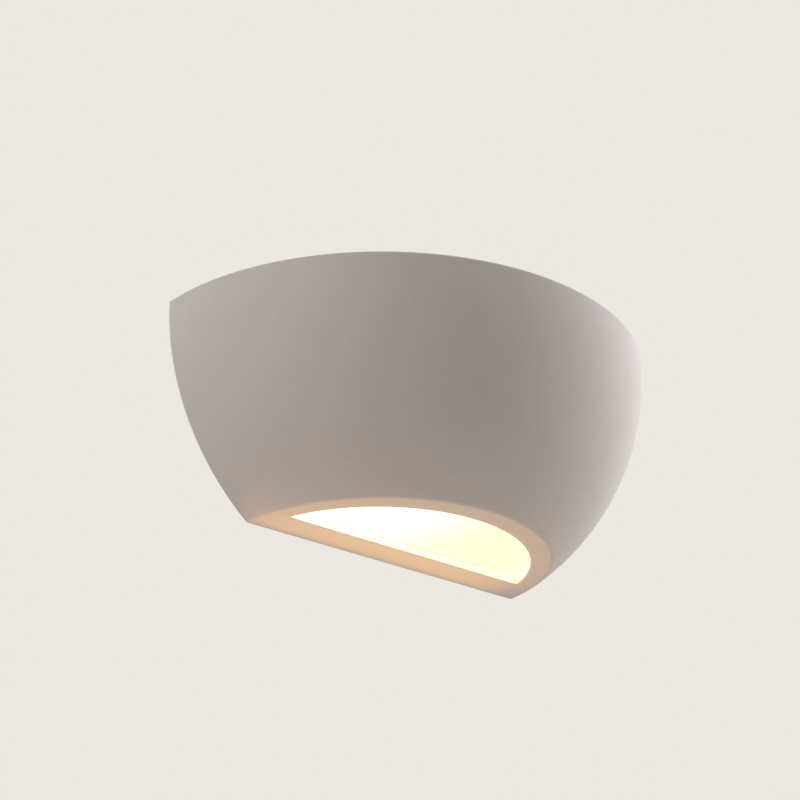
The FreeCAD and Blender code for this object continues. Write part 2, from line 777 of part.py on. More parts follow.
def make_holder_metal():
    """The thread shell, the sprung centre contact and the contact's rivet."""
    shell = new_body("lampholder_shell")
    sketch = sketch_on(shell, "XY_Plane")
    start = socket_mouth + shell_setback
    end = start + shell_length
    inside = shell_bore / 2
    outline(sketch, (start, inside), (end - shell_thickness, inside),
            (end - shell_thickness, shell_hole / 2), (end, shell_hole / 2),
            (end, shell_outside), (start, shell_outside))
    spin(shell, sketch, "H_Axis")
    place(shell, y=-bulb_reach)

    contact = new_body("lampholder_contact")
    sketch = sketch_on(contact, "XY_Plane")
    touch = bulb_seat + contact_clearance
    foot = holder_bottom - contact_thickness
    heel = contact_width / 2
    toe = rivet_offset + heel
    tip = -contact_width / 2
    outline(sketch, (holder_bottom, toe), (holder_bottom, heel - contact_thickness),
            (touch + contact_thickness, tip + contact_width / 2),
            (touch + contact_thickness, tip), (touch, tip),
            (touch, tip + contact_width / 2 + contact_thickness), (foot, heel), (foot, toe))
    pad(contact, sketch, contact_width, both=True)
    sketch = sketch_on(contact, "YZ_Plane", holder_bottom)
    ring(sketch, (rivet_offset, 0.0), rivet_diameter / 2)
    cut(contact, sketch, contact_thickness * 4, both=True)
    place(contact, y=-bulb_reach)

    rivet = new_body("lampholder_contact_rivet")
    sketch = sketch_on(rivet, "XZ_Plane")
    outline(sketch, (0.0, rivet_length), (0.0, -rivet_head_height),
            (rivet_head / 4, -rivet_head_height), (rivet_head / 2, 0.0),
            (rivet_diameter / 2, 0.0), (rivet_diameter / 2, rivet_length))
    spin(rivet, sketch, "V_Axis")
    place(rivet, foot, rivet_offset - bulb_reach, 0.0, *ALONG_X)
    return [shell, contact, rivet]


def make_holder_fasteners():
    """Two machine screws through the lampholder's floor and the arm, with nuts outside."""
    pieces = []
    for side, where in ((1, "upper"), (-1, "lower")):
        z = holder_screw_spacing / 2 * side
        length = holder_floor + arm_thickness + nut_height
        screw = make_screw(f"lampholder_screw_{where}", screw_diameter, screw_head,
                           screw_head_height, length)
        pieces.append(place(screw, holder_bottom, -bulb_reach, z, *ALONG_X))
        nut = make_nut(f"lampholder_nut_{where}")
        pieces.append(place(nut, arm_back, -bulb_reach, z, *ALONG_X))
    return pieces


# ---- bulb -----------------------------------------------------------------------------------

def make_bulb():
    """A bulb screwed home: its end contact is at the seat, and its dome points to -X."""
    cap_end = bulb_seat - bulb_contact_length - insulator_length
    cap_start = cap_end - cap_length
    outer = cap_diameter / 2
    inner = outer - cap_wall
    end_outer = outer - cap_taper
    end_inner = end_outer - cap_wall
    joint = bulb_seat - bulb_length + bulb_joint
    ball = bulb_diameter / 2
    ball_middle = bulb_seat - bulb_length + ball
    pieces = []

    body = new_body("bulb_screw_cap")
    sketch = sketch_on(body, "XY_Plane")
    outline(sketch, (cap_start, inner), (cap_end - cap_taper, inner), (cap_end, end_inner),
            (cap_end, end_outer), (cap_end - cap_taper, outer), (cap_start, outer))
    spin(body, sketch, "H_Axis")
    pieces.append(body)

    body = new_body("bulb_cap_insulator")
    sketch = sketch_on(body, "XY_Plane")
    tip = cap_end + insulator_length
    outline(sketch, (cap_end, 0.0), (tip, 0.0), (tip, insulator_tip / 2), (cap_end, end_outer))
    spin(body, sketch, "H_Axis")
    pieces.append(body)

    body = new_body("bulb_centre_contact")
    sketch = sketch_on(body, "XY_Plane")
    outline(sketch, (tip, 0.0), (bulb_seat, 0.0), (bulb_seat, bulb_contact_diameter / 4),
            (tip, bulb_contact_diameter / 2))
    spin(body, sketch, "H_Axis")
    pieces.append(body)

    body = new_body("bulb_housing")
    sketch = sketch_on(body, "XY_Plane")
    neck = bulb_neck / 2
    rim = housing_rim / 2
    neck_start = cap_start - bulb_neck_length
    ledge = joint + led_board_depth
    board = led_board_diameter / 2
    outside = ((neck_start, neck), (joint + bulb_wall, rim))
    side_centre = arc_centre(*outside, bulb_side_radius, -1)
    seat_radius = board - bulb_wall
    inside = ((ledge, seat_radius), (neck_start, inner - bulb_wall))
    inside_centre = arc_centre(*inside, bulb_side_radius, 1)
    outline(sketch, (cap_start + bulb_spigot, inner - bulb_wall),
            (cap_start + bulb_spigot, inner), (cap_start, inner), (cap_start, neck),
            (neck_start, neck), Arc(outside[1], side_centre, -1), (joint, rim), (joint, board),
            (ledge, board), inside[0], Arc(inside[1], inside_centre, 1))
    spin(body, sketch, "H_Axis")
    pieces.append(body)

    body = new_body("bulb_diffuser")
    sketch = sketch_on(body, "XY_Plane")
    reach = joint - ball_middle
    skin = ball - diffuser_wall
    edge = root(ball * ball - reach * reach)
    inner_edge = root(skin * skin - reach * reach)
    centre = (ball_middle, 0.0)
    outline(sketch, (joint, edge), Arc((ball_middle - ball, 0.0), centre, 1),
            (ball_middle - skin, 0.0), Arc((joint, inner_edge), centre, -1))
    spin(body, sketch, "H_Axis")
    pieces.append(body)

    body = new_body("bulb_led_board")
    sketch = sketch_on(body, "YZ_Plane", ledge - led_board_thickness)
    ring(sketch, (0.0, 0.0), board)
    pad(body, sketch, led_board_thickness)
    sketch = sketch_on(body, "YZ_Plane", ledge - led_board_thickness)
    for i in range(8):
        y = led_ring / 2 * math.cos(math.radians(45 * i))
        z = led_ring / 2 * math.sin(math.radians(45 * i))
        box_outline(sketch, (y - led_size / 2, z - led_size / 2),
                    (y + led_size / 2, z + led_size / 2))
    pad(body, sketch, led_height, reverse=True)
    pieces.append(body)

    body = new_body("bulb_driver_board")
    sketch = sketch_on(body, "XY_Plane")
    box_outline(sketch, (ledge, -driver_board_width / 2),
                (ledge + driver_board_length, driver_board_width / 2))
    pad(body, sketch, driver_board_thickness, both=True)
    pieces.append(body)

    return [place(body, y=-bulb_reach) for body in pieces]


# ---- terminal block -------------------------------------------------------------------------

def poles():
    """The middle of each pole, in X."""
    return [block_left + pole_pitch * (i + 0.5) for i in range(3)]


def make_block():
    """A moulded three-pole block: a base with two rows of screw towers."""
    body = new_body("terminal_block_body")
    half = block_height / 2
    shoulder = plate_front - block_base
    valley = shoulder + tower_lean
    crown = half - tower_lean
    sketch = sketch_on(body, "YZ_Plane", block_left)
    outline(sketch, (plate_front, -half), (plate_front, half), (shoulder, half),
            (tower_front, crown), (tower_front, tower_inner), (valley, tower_inner),
            (valley, -tower_inner), (tower_front, -tower_inner), (tower_front, -crown),
            (shoulder, -half))
    pad(body, sketch, pole_pitch * 3)
    sketch = sketch_on(body, "XY_Plane")
    for x, _ in block_screw_points():
        box_outline(sketch, (x - tower_notch / 2, tower_front - tower_notch),
                    (x + tower_notch / 2, shoulder))
    cut(body, sketch, block_height * 2, both=True)
    sketch = sketch_on(body, "XY_Plane")
    for x in poles():
        ring(sketch, (x, barrel_line), barrel_diameter / 2)
    cut(body, sketch, block_height * 2, both=True)
    sketch = sketch_on(body, "XZ_Plane", -barrel_line)
    for x in poles():
        for side in (1, -1):
            ring(sketch, (x, terminal_screw_offset * side), chimney_diameter / 2)
    cut(body, sketch, tower_height * 3, reverse=True)
    sketch = sketch_on(body, "XZ_Plane")
    for point in block_screw_points():
        ring(sketch, point, small_screw_diameter / 2 + screw_clearance)
    cut(body, sketch, block_base * 6, both=True)
    return body


def make_barrels():
    """A brass barrel in each pole, with two tapped holes for the clamping screws."""
    pieces = []
    for x, name in zip(poles(), ("earth", "live", "neutral")):
        body = new_body(f"terminal_barrel_{name}")
        sketch = sketch_on(body, "XY_Plane")
        ring(sketch, (0.0, 0.0), barrel_diameter / 2)
        ring(sketch, (0.0, 0.0), barrel_bore / 2)
        pad(body, sketch, barrel_length, both=True)
        sketch = sketch_on(body, "XZ_Plane")
        for side in (1, -1):
            ring(sketch, (0.0, terminal_screw_offset * side), small_screw_diameter / 2)
        cut(body, sketch, barrel_diameter, reverse=True)
        pieces.append(place(body, x, barrel_line))
    return pieces


def make_terminal_screws():
    """Six clamping screws, two to a pole, in one node."""
    screws = []
    for x in poles():
        for side in (1, -1):
            screw = doc.addObject("Part::Cylinder", "terminal_screw")
            bind(screw, "Radius", small_screw_diameter / 2)
            bind(screw, "Height", terminal_screw_length)
            screw.Placement = Placement(Vector(), Rotation(Vector(1, 0, 0), 90))
            bind(screw, "Placement.Base.x", x)
            bind(screw, "Placement.Base.y", barrel_line - wire_diameter / 2)
            bind(screw, "Placement.Base.z", terminal_screw_offset * side)
            screws.append(screw)
    group = doc.addObject("Part::Compound", "terminal_screws")
    group.Label = "terminal_screws"
    group.Links = screws
    return group


def make_block_screws():
    """Two small screws hold the block to the plate, which is tapped for them."""
    pieces = []
    valley = plate_front - block_base + tower_lean
    length = block_base - tower_lean + plate_thickness
    for (x, z), where in zip(block_screw_points(), ("left", "right")):
        screw = make_screw(f"terminal_block_screw_{where}", small_screw_diameter,
                           small_screw_head, small_screw_head_height, length)
        pieces.append(place(screw, x, valley, z, *INTO_WALL))
    return pieces


# ---- earth connection -----------------------------------------------------------------------

def make_earth():
    """A crimped ring lug under a washer and a screw, with a nut behind the plate."""
    lug = new_body("earth_ring_lug")
    lug_front = plate_front - lug_thickness
    sketch = sketch_on(lug, "XZ_Plane", plate_stand)
    ring(sketch, (0.0, 0.0), lug_diameter / 2)
    pad(lug, sketch, lug_thickness)
    sketch = sketch_on(lug, "XZ_Plane", plate_stand)
    half = lug_barrel_diameter / 2
    box_outline(sketch, (-half, -lug_reach), (half, 0.0))
    pad(lug, sketch, lug_thickness)
    sketch = sketch_on(lug, "XY_Plane", -lug_reach)
    ring(sketch, (0.0, lug_line), half)
    pad(lug, sketch, lug_barrel_length)
    sketch = sketch_on(lug, "XZ_Plane", plate_stand)
    ring(sketch, (0.0, 0.0), screw_bore)
    cut(lug, sketch, lug_thickness * 4, both=True)
    sketch = sketch_on(lug, "XY_Plane", -lug_reach)
    ring(sketch, (0.0, lug_line), wire_diameter / 2)
    cut(lug, sketch, lug_bore, reverse=True)
    place(lug, -earth_left)

    washer = new_body("earth_washer")
    sketch = sketch_on(washer, "XZ_Plane")
    ring(sketch, (0.0, 0.0), washer_diameter / 2)
    ring(sketch, (0.0, 0.0), screw_bore)
    pad(washer, sketch, washer_thickness)
    place(washer, -earth_left, lug_front)

    length = washer_thickness + lug_thickness + plate_thickness + nut_height
    screw = make_screw("earth_screw", screw_diameter, screw_head, screw_head_height, length)
    place(screw, -earth_left, lug_front - washer_thickness, 0.0, *INTO_WALL)
    nut = place(make_nut("earth_nut"), -earth_left, plate_back, 0.0, *INTO_WALL)
    return [lug, washer, screw, nut]


# ---- wires ----------------------------------------------------------------------------------

def make_wire(name, *corners):
    """An insulated wire: straight runs joined by arcs as large as the runs allow."""
    points = [Vector(*(plain(part).value for part in corner)) for corner in corners]
    edges = []
    here = points[0]
    for before, corner, after in zip(points, points[1:], points[2:]):
        back = before - corner
        ahead = after - corner
        turn = math.pi - back.getAngle(ahead)
        trim = 0.45 * min(back.Length, ahead.Length)
        radius = trim / math.tan(turn / 2)
        start = corner + back * (trim / back.Length)
        end = corner + ahead * (trim / ahead.Length)
        inward = (start + end) * 0.5 - corner
        middle = corner + inward * (
            (math.hypot(radius, trim) - radius) / inward.Length)
        edges.append(Part.LineSegment(here, start).toShape())
        edges.append(Part.Arc(start, middle, end).toShape())
        here = end
    edges.append(Part.LineSegment(here, points[-1]).toShape())
    path = Part.Wire(edges)
    way = points[1] - points[0]
    section = Part.Wire([Part.Circle(points[0], way, wire_diameter.value / 2).toShape()])
    tube = path.makePipeShell([section], True, False)
    expected = math.pi * wire_diameter.value ** 2 / 4 * path.Length
    if abs(tube.Volume - expected) > 0.01 * expected:
        raise RuntimeError(f"{name} holds {tube.Volume:.1f} mm3 in place of {expected:.1f}")
    feature = doc.addObject("Part::Feature", name)
    feature.Label = name
    feature.Shape = tube
    feature.Placement = Placement()
    return feature


def make_wires():
    """Live and neutral run under the arm to the lampholder; earth runs to the ring lug."""
    earth_x, live_x, neutral_x = poles()
    clamp = -barrel_length / 2 + terminal_screw_offset * 0.5
    block_bottom = -block_height / 2
    low = block_bottom - wire_drop
    inner = wire_spacing / 2 - bulb_reach
    outer = -wire_spacing / 2 - bulb_reach
    socket = holder_back - wire_socket_depth
    out = arm_back + wire_overrun
    live = make_wire(
        "live_wire", (live_x, barrel_line, clamp), (live_x, barrel_line, low - 6.0),
        (holder_back - 12.0, barrel_line - 8.0, low - 9.0),
        (out - 5.0, barrel_line - 26.0, low - 2.0), (out + 1.0, inner, -7.0),
        (out - 8.0, inner, 0.0), (socket, inner, 0.0))
    neutral = make_wire(
        "neutral_wire", (neutral_x, barrel_line, clamp), (neutral_x, barrel_line, low),
        (holder_back - 4.0, barrel_line - 6.0, low - 1.0),
        (out + 4.0, barrel_line - 24.0, low + 6.0), (out + 8.0, outer, -2.0),
        (out - 3.0, outer, 0.0), (socket, outer, 0.0))
    earth = make_wire(
        "earth_wire", (earth_x, barrel_line, clamp), (earth_x, barrel_line, low),
        (0.0, barrel_line - 2.0, low - 10.0), (-earth_left, lug_line, low - 6.0),
        (-earth_left, lug_line, lug_bore - lug_reach))
    return [live, neutral, earth]


# ---- the whole sconce -----------------------------------------------------------------------

pieces = [make_shade(), make_pane()]
for side, where in ((-1, "left"), (1, "right")):
    pieces.append(make_insert(side, f"shade_insert_{where}"))
    pieces.append(make_thumbscrew(side, f"thumbscrew_{where}"))
pieces += [make_bracket(), make_grommet(), make_arm()]
pieces += make_arm_fasteners()
pieces += [make_holder()] + make_holder_metal() + make_holder_fasteners()
pieces += make_bulb()
pieces += [make_block()] + make_barrels() + [make_terminal_screws()] + make_block_screws()
pieces += make_earth() + make_wires()

doc.recompute()
for item in doc.Objects:
    if "Invalid" in item.State or "Error" in item.State:
        raise RuntimeError(f"{item.Label} failed: {item.State}")
for piece in pieces:
    if piece.Shape.isNull() or not piece.Shape.isValid() or piece.Shape.Volume < 0.1:
        raise RuntimeError(f"{piece.Label} has no valid solid")

os.makedirs("parts", exist_ok=True)
for piece in pieces:
    piece.Shape.exportStep(f"parts/{piece.Label}.step")
    print(f"{piece.Label:28s} solids {len(piece.Shape.Solids)} volume {piece.Shape.Volume:10.1f}")
print(len(pieces), "nodes")
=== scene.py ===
import json
import math

import bmesh
import bpy
from mathutils import Euler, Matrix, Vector

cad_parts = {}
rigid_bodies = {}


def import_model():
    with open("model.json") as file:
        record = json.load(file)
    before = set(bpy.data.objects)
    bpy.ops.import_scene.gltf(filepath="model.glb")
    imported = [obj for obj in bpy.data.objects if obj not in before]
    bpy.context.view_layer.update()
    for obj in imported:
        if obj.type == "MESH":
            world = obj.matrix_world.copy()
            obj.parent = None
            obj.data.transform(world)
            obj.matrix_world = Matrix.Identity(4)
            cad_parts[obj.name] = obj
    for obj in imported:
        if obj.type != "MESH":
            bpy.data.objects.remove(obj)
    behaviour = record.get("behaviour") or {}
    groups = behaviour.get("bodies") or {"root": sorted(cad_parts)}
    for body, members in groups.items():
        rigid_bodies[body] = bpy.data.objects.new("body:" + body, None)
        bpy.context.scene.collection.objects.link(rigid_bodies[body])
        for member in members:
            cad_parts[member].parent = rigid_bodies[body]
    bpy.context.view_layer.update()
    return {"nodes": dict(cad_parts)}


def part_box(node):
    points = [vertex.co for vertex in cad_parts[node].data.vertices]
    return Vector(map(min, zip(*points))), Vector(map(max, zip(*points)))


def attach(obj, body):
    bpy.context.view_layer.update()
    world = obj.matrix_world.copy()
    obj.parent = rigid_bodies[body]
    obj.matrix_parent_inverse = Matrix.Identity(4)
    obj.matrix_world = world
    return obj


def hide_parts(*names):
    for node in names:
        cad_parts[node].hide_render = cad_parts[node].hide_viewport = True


# Uplighter wall sconce. Metres, in the frame of the solids: the origin is on the wall, midway
# between the bracket's two screw slots, +X to the right, +Y into the wall, +Z up.

for leftover in list(bpy.data.objects):
    bpy.data.objects.remove(leftover)

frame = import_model()
nodes = frame["nodes"]

MM = 0.001


# ---- wall bracket ---------------------------------------------------------------------------
# A strip of 1.5 mm steel, folded to a shallow channel that stands on the wall, with an ear at
# each end for a thumbscrew. It is pressed, punched and then powder-coated white.

class Field:
    """A number, vector or colour that varies over a surface; sums and products add nodes."""

    def __init__(self, finish, socket):
        self.finish = finish
        self.socket = socket

    def combine(self, operation, first, second):
        kind = "Math" if self.socket.type == "VALUE" else "VectorMath"
        return self.finish.add(kind, {"operation": operation}, {0: first, 1: second})

    def __add__(self, other):
        return self.combine("ADD", self, other)

    def __radd__(self, other):
        return self.combine("ADD", other, self)

    def __sub__(self, other):
        return self.combine("SUBTRACT", self, other)

    def __rsub__(self, other):
        return self.combine("SUBTRACT", other, self)

    def __mul__(self, other):
        return self.combine("MULTIPLY", self, other)

    def __rmul__(self, other):
        return self.combine("MULTIPLY", other, self)


class Finish:
    """The finish of one material, built up from fields."""

    def __init__(self, name, **sockets):
        self.material = bpy.data.materials.new(name)
        self.material.use_nodes = True
        self.nodes = self.material.node_tree.nodes
        self.links = self.material.node_tree.links
        self.skin = self.nodes["Principled BSDF"]
        self.place = Field(self, self.nodes.new("ShaderNodeTexCoord").outputs["Object"])
        self.set(**sockets)

    def feed(self, socket, value):
        if isinstance(value, Field):
            self.links.new(value.socket, socket)
        elif socket.type == "VECTOR" and isinstance(value, (int, float)):
            socket.default_value = (value, value, value)
        elif socket.type == "RGBA":
            socket.default_value = (*value[:3], 1.0)
        else:
            socket.default_value = value

    def add(self, kind, settings, inputs, output=0):
        """Any node: its settings first, then the values or fields of its sockets."""
        node = self.nodes.new("ShaderNode" + kind)
        for name, value in settings.items():
            setattr(node, name, value)
        for name, value in inputs.items():
            self.feed(node.inputs[name], value)
        return Field(self, node.outputs[output])

    def set(self, **sockets):
        """Feed the skin: base_color, roughness, metallic and so on."""
        for name, value in sockets.items():
            words = name.replace("_", " ").title().replace("Ior", "IOR")
            self.feed(self.skin.inputs[words], value)

    def noise(self, size, detail=2.0, stretch=(1, 1, 1)):
        """Cloudy noise from 0 to 1 whose patches are about as wide as size."""
        place = self.place * tuple(part / size for part in stretch)
        return self.add("TexNoise", {}, {"Vector": place, "Scale": 1.0, "Detail": detail})

    def specks(self, size):
        """Distance from the nearest of many scattered points, in units of their spacing."""
        return self.add("TexVoronoi", {}, {"Vector": self.place * (1 / size), "Scale": 1.0})

    def between(self, field, low, high):
        """0 below low and 1 above high, or the other way round, with a soft step."""
        settings = {"interpolation_type": "SMOOTHSTEP"}
        if low < high:
            return self.add("MapRange", settings, {0: field, 1: low, 2: high})
        return 1 - self.add("MapRange", settings, {0: field, 1: high, 2: low})

    def mix(self, mask, first, second):
        """The first colour where the mask is 0 and the second where it is 1."""
        return self.add("Mix", {"data_type": "RGBA"}, {0: mask, 6: first, 7: second}, 2)

    def relief(self, height):
        """Surface relief from a height in metres."""
        inputs = {"Strength": 1.0, "Distance": 1.0, "Height": height}
        self.feed(self.skin.inputs["Normal"], self.add("Bump", {}, inputs))

    def dress(self, *names):
        """Put the finish on solids of the frame."""
        for name in names:
            for slot in nodes[name].material_slots:
                slot.material = self.material


def powder_coat():
    finish = Finish("powder_coat_white", specular_ior_level=0.45)
    peel = finish.noise(1.1 * MM, 3.0)
    clouds = finish.noise(24 * MM)
    fresh = finish.mix(clouds, (0.80, 0.795, 0.775), (0.75, 0.745, 0.72))
    pits_with_painted_shade = finish.between(finish.specks(2.6 * MM), 0.10, 0.04)
    # The pits are sunk into the relief and also painted darker: painted shade in their hollows.
    finish.set(base_color=finish.mix(pits_with_painted_shade * 0.5, fresh, (0.60, 0.59, 0.56)),
               roughness=0.34 + peel * 0.16)
    finish.relief((peel - pits_with_painted_shade) * (0.012 * MM))
    return finish


powder_coat().dress("wall_bracket", "holder_arm")


# ---- cable grommet --------------------------------------------------------------------------
# A soft black ring, moulded in one piece and snapped into the bracket's cable hole, so that
# the supply cable doesn't chafe on the steel.

def grommet_rubber():
    finish = Finish("grommet_rubber", specular_ior_level=0.4)
    bloom = finish.noise(5 * MM, 4.0)
    finish.set(base_color=finish.mix(bloom, (0.018, 0.018, 0.019), (0.050, 0.049, 0.047)),
               roughness=0.52 + bloom * 0.24)
    finish.relief(finish.noise(0.5 * MM, 2.0) * (0.012 * MM))
    return finish


grommet_rubber().dress("cable_grommet")


# ---- screws and nuts ------------------------------------------------------------------------
# Zinc-plated steel. The nuts are cut from hexagon bar and turned down at both corners, so the
# round chamfer leaves an arc on every flat.

def zinc_plate():
    finish = Finish("zinc_plate", metallic=1.0)
    passive = finish.noise(2.4 * MM, 3.0)
    rubbed = finish.between(finish.noise(0.7 * MM, 4.0), 0.52, 0.70)
    bright = finish.mix(passive, (0.60, 0.62, 0.66), (0.66, 0.64, 0.58))
    finish.set(base_color=finish.mix(rubbed * 0.4, bright, (0.40, 0.41, 0.43)),
               roughness=0.26 + rubbed * 0.20)
    finish.relief(finish.noise(0.25 * MM, 2.0) * (0.004 * MM))
    return finish


zinc = zinc_plate()
zinc.dress("arm_screw_upper", "arm_screw_lower", "lampholder_screw_upper",
           "lampholder_screw_lower", "terminal_block_screw_left", "terminal_block_screw_right",
           "earth_washer", "earth_ring_lug")


def finish_piece(name, work, finish, slot, body, *replaced, sharp):
    """Turn worked-up geometry into a piece that rides on a body and stands for solids."""
    bmesh.ops.recalc_face_normals(work, faces=work.faces)
    mesh = bpy.data.meshes.new(name)
    work.to_mesh(mesh)
    work.free()
    mesh.shade_smooth()
    mesh.set_sharp_from_angle(angle=math.radians(sharp))
    mesh.materials.append(finish.material)
    piece = bpy.data.objects.new(name, mesh)
    bpy.context.scene.collection.objects.link(piece)
    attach(piece, body)
    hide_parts(*replaced)


def skin(work, rings, *lids):
    """Faces from each closed ring of points to the next, and flat lids on some of the rings."""
    rows = [[work.verts.new(point) for point in ring] for ring in rings]
    for before, after in zip(rows, rows[1:]):
        for i in range(len(before)):
            j = (i + 1) % len(before)
            work.faces.new((before[i], before[j], after[j], after[i]))
    for lid in lids:
        work.faces.new(rows[lid])


def loft(name, rings, finish, slot, body, *replaced, sharp):
    """One piece through closed rings of points, with flat ends."""
    work = bmesh.new()
    skin(work, rings, 0, -1)
    finish_piece(name, work, finish, slot, body, *replaced, sharp=sharp)


ACROSS = {0: (1, 2), 1: (2, 0), 2: (0, 1)}


def turned_ring(axis, along, radius, centre, steps):
    """A ring round an axis; its place along it and its radius may depend on the angle."""
    ring = []
    for i in range(steps):
        angle = 2 * math.pi * i / steps
        reach = radius(angle) if callable(radius) else radius
        point = Vector(centre)
        point[axis] = along(angle) if callable(along) else along
        point[ACROSS[axis][0]] += reach * math.cos(angle)
        point[ACROSS[axis][1]] += reach * math.sin(angle)
        ring.append(point)
    return ring


def hexagon_nut(node):
    """A hexagon nut, chamfered on both sides, with a countersunk bore."""
    low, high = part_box(node)
    centre = (low + high) / 2
    axis = min(range(3), key=lambda i: high[i] - low[i])
    wide = max(range(3), key=lambda i: high[i] - low[i])
    flat = min(high[i] - low[i] for i in range(3) if i != axis) / 2
    first_corner = 0.0 if wide == ACROSS[axis][0] else math.pi / 6
    chamfer_start = flat * 0.95
    slope = math.tan(math.radians(30))
    bore = 2.0 * MM
    countersink = 0.3 * MM
    steps = 96

    def outside(angle):
        return flat / math.cos((angle - first_corner) % (math.pi / 3) - math.pi / 6)

    def drop(angle):
        return (outside(angle) - chamfer_start) * slope

    def ring(along, radius):
        return turned_ring(axis, along, radius, centre, steps)

    bottom, top = low[axis], high[axis]
    rings = [ring(bottom, chamfer_start),
             ring(lambda angle: bottom + drop(angle), outside),
             ring(lambda angle: top - drop(angle), outside),
             ring(top, chamfer_start),
             ring(top, bore + countersink),
             ring(top - countersink, bore),
             ring(bottom + countersink, bore),
             ring(bottom, bore + countersink)]
    loft(f"{node}_hexagon", rings + [rings[0]], zinc, "zinc_steel", "bracket", node, sharp=25)


for nut in ("arm_nut_upper", "arm_nut_lower", "lampholder_nut_upper", "lampholder_nut_lower",
            "earth_nut"):
    hexagon_nut(nut)


# ---- terminal block -------------------------------------------------------------------------
# A three-pole block moulded in off-white nylon. Each pole has a brass barrel with two clamping
# screws, which sit slot outwards at the bottom of their towers.

def block_nylon():
    finish = Finish("block_nylon", specular_ior_level=0.5)
    flow = finish.noise(6 * MM, 2.0, (0.3, 1, 1))
    finish.set(base_color=finish.mix(flow, (0.80, 0.785, 0.72), (0.74, 0.72, 0.65)),
               roughness=0.30 + flow * 0.14)
    finish.relief(finish.noise(0.35 * MM) * (0.006 * MM))
    return finish


def brass(name, bright, dull):
    """Turned or pressed brass that has begun to darken."""
    finish = Finish(name, metallic=1.0)
    tarnish = finish.between(finish.noise(3 * MM, 5.0), 0.42, 0.72)
    lines = finish.noise(0.3 * MM, 1.0, (12, 1, 1))
    finish.set(base_color=finish.mix(tarnish, bright, dull),
               roughness=0.20 + tarnish * 0.16 + lines * 0.08)
    finish.relief(lines * (0.003 * MM))
    return finish


block_nylon().dress("terminal_block_body")
brass("contact_brass", (0.80, 0.60, 0.32), (0.58, 0.42, 0.22)).dress(
    "terminal_barrel_earth", "terminal_barrel_live", "terminal_barrel_neutral",
    "lampholder_contact", "lampholder_contact_rivet")


def clamping_screws():
    """Six headless screws, each with a driver slot, as one piece."""
    low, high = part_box("terminal_screws")
    radius = 1.5 * MM
    bevel = 0.2 * MM
    slot_half = 0.3 * MM
    slot_floor = low.y + 1.0 * MM
    steps = 48
    slot_edge = math.asin(slot_half / radius)
    sweep = math.pi - 2 * slot_edge
    angles = [slot_edge - math.pi / 2 + sweep * i / steps for i in range(steps + 1)]
    work = bmesh.new()

    def half(along, reach):
        """The outline of what stands on one side of the slot."""
        return [(x + side * reach * math.cos(angle), along, z + reach * math.sin(angle))
                for angle in angles]

    for x in (low.x + radius, (low.x + high.x) / 2, high.x - radius):
        for z in (low.z + radius, high.z - radius):
            for side in (1, -1):
                skin(work, [half(low.y, radius - bevel), half(low.y + bevel, radius),
                            half(slot_floor, radius)], 0)
            skin(work, [turned_ring(1, slot_floor, radius, (x, 0, z), steps),
                        turned_ring(1, high.y, radius, (x, 0, z), steps)], 0, -1)
    finish_piece("clamping_screws", work, zinc, "zinc_steel", "bracket", "terminal_screws",
                 sharp=32)


clamping_screws()


# ---- earth connection -----------------------------------------------------------------------
# A crimped ring lug lies on the plate under a washer and a brass screw, with a nut behind. The
# lug, the washer and the nut are zinc-plated, like the other fixings.

brass("earth_screw_brass", (0.82, 0.62, 0.33), (0.60, 0.44, 0.24)).dress("earth_screw")


# ---- wires ----------------------------------------------------------------------------------
# Single insulated wires: brown for live, blue for neutral, and green with a yellow stripe for
# earth. They are stiff enough to keep the loose curves that they are pushed into.

def insulation(name, colour, stripe=None):
    finish = Finish(name, specular_ior_level=0.45)
    dust = finish.noise(4 * MM, 3.0)
    base = finish.mix(dust * 0.3, colour, (0.40, 0.38, 0.35))
    if stripe:
        facing = Field(finish, finish.nodes.new("ShaderNodeTexCoord").outputs["Normal"])
        parts = finish.add("SeparateXYZ", {}, {0: facing}, 1)
        base = finish.mix(finish.between(parts, -0.30, -0.36), base, stripe)
    finish.set(base_color=base, roughness=0.38 + dust * 0.2)
    finish.relief(finish.noise(0.4 * MM) * (0.01 * MM))
    return finish


def wire(node, slot, finish, *points):
    """A round wire on one smooth curve, pulled towards its points, which are in millimetres."""
    line = bpy.data.curves.new(node, "CURVE")
    line.dimensions = "3D"
    line.bevel_depth = 1.2 * MM
    line.bevel_resolution = 6
    line.resolution_u = 20
    line.use_fill_caps = True
    run = line.splines.new("NURBS")
    run.points.add(len(points) - 1)
    for point, (x, y, z) in zip(run.points, points):
        point.co = (x * MM, y * MM, z * MM, 1.0)
    run.order_u = 3
    run.use_endpoint_u = True
    guide = bpy.data.objects.new(node, line)
    mesh = bpy.data.meshes.new_from_object(guide)
    bpy.data.objects.remove(guide)
    work = bmesh.new()
    work.from_mesh(mesh)
    bmesh.ops.remove_doubles(work, verts=work.verts, dist=0.001 * MM)
    finish_piece(f"{node}_run", work, finish, slot, "bracket", node, sharp=50)


live_brown = insulation("live_brown", (0.130, 0.052, 0.022))
neutral_blue = insulation("neutral_blue", (0.030, 0.120, 0.420))
earth_green = insulation("earth_green", (0.055, 0.290, 0.050), (0.760, 0.640, 0.060))
lug_low, lug_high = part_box("earth_ring_lug")
lug_line = (lug_low.y + lug_high.y) / 2 / MM
wire("live_wire", "live_brown", live_brown, (29, -11, -5.9), (29, -11, -26), (50, -18, -31),
     (77, -36, -25), (84, -61, -9), (77, -62.4, 0), (68, -62.4, 0), (61, -62.4, 0))
wire("neutral_wire", "neutral_blue", neutral_blue, (39, -11, -5.9), (39, -11, -21),
     (60, -16, -24), (85, -33, -17), (92, -58, -6), (87, -67.6, 0), (72, -67.6, 0),
     (61, -67.6, 0))
wire("earth_wire", "earth_green", earth_green, (19, -11, -5.9), (19, -11, -21), (4, -13, -31),
     (-22, -12, -32), (-30, lug_line, -23), (-30, lug_line, -12), (-30, lug_line, -7))


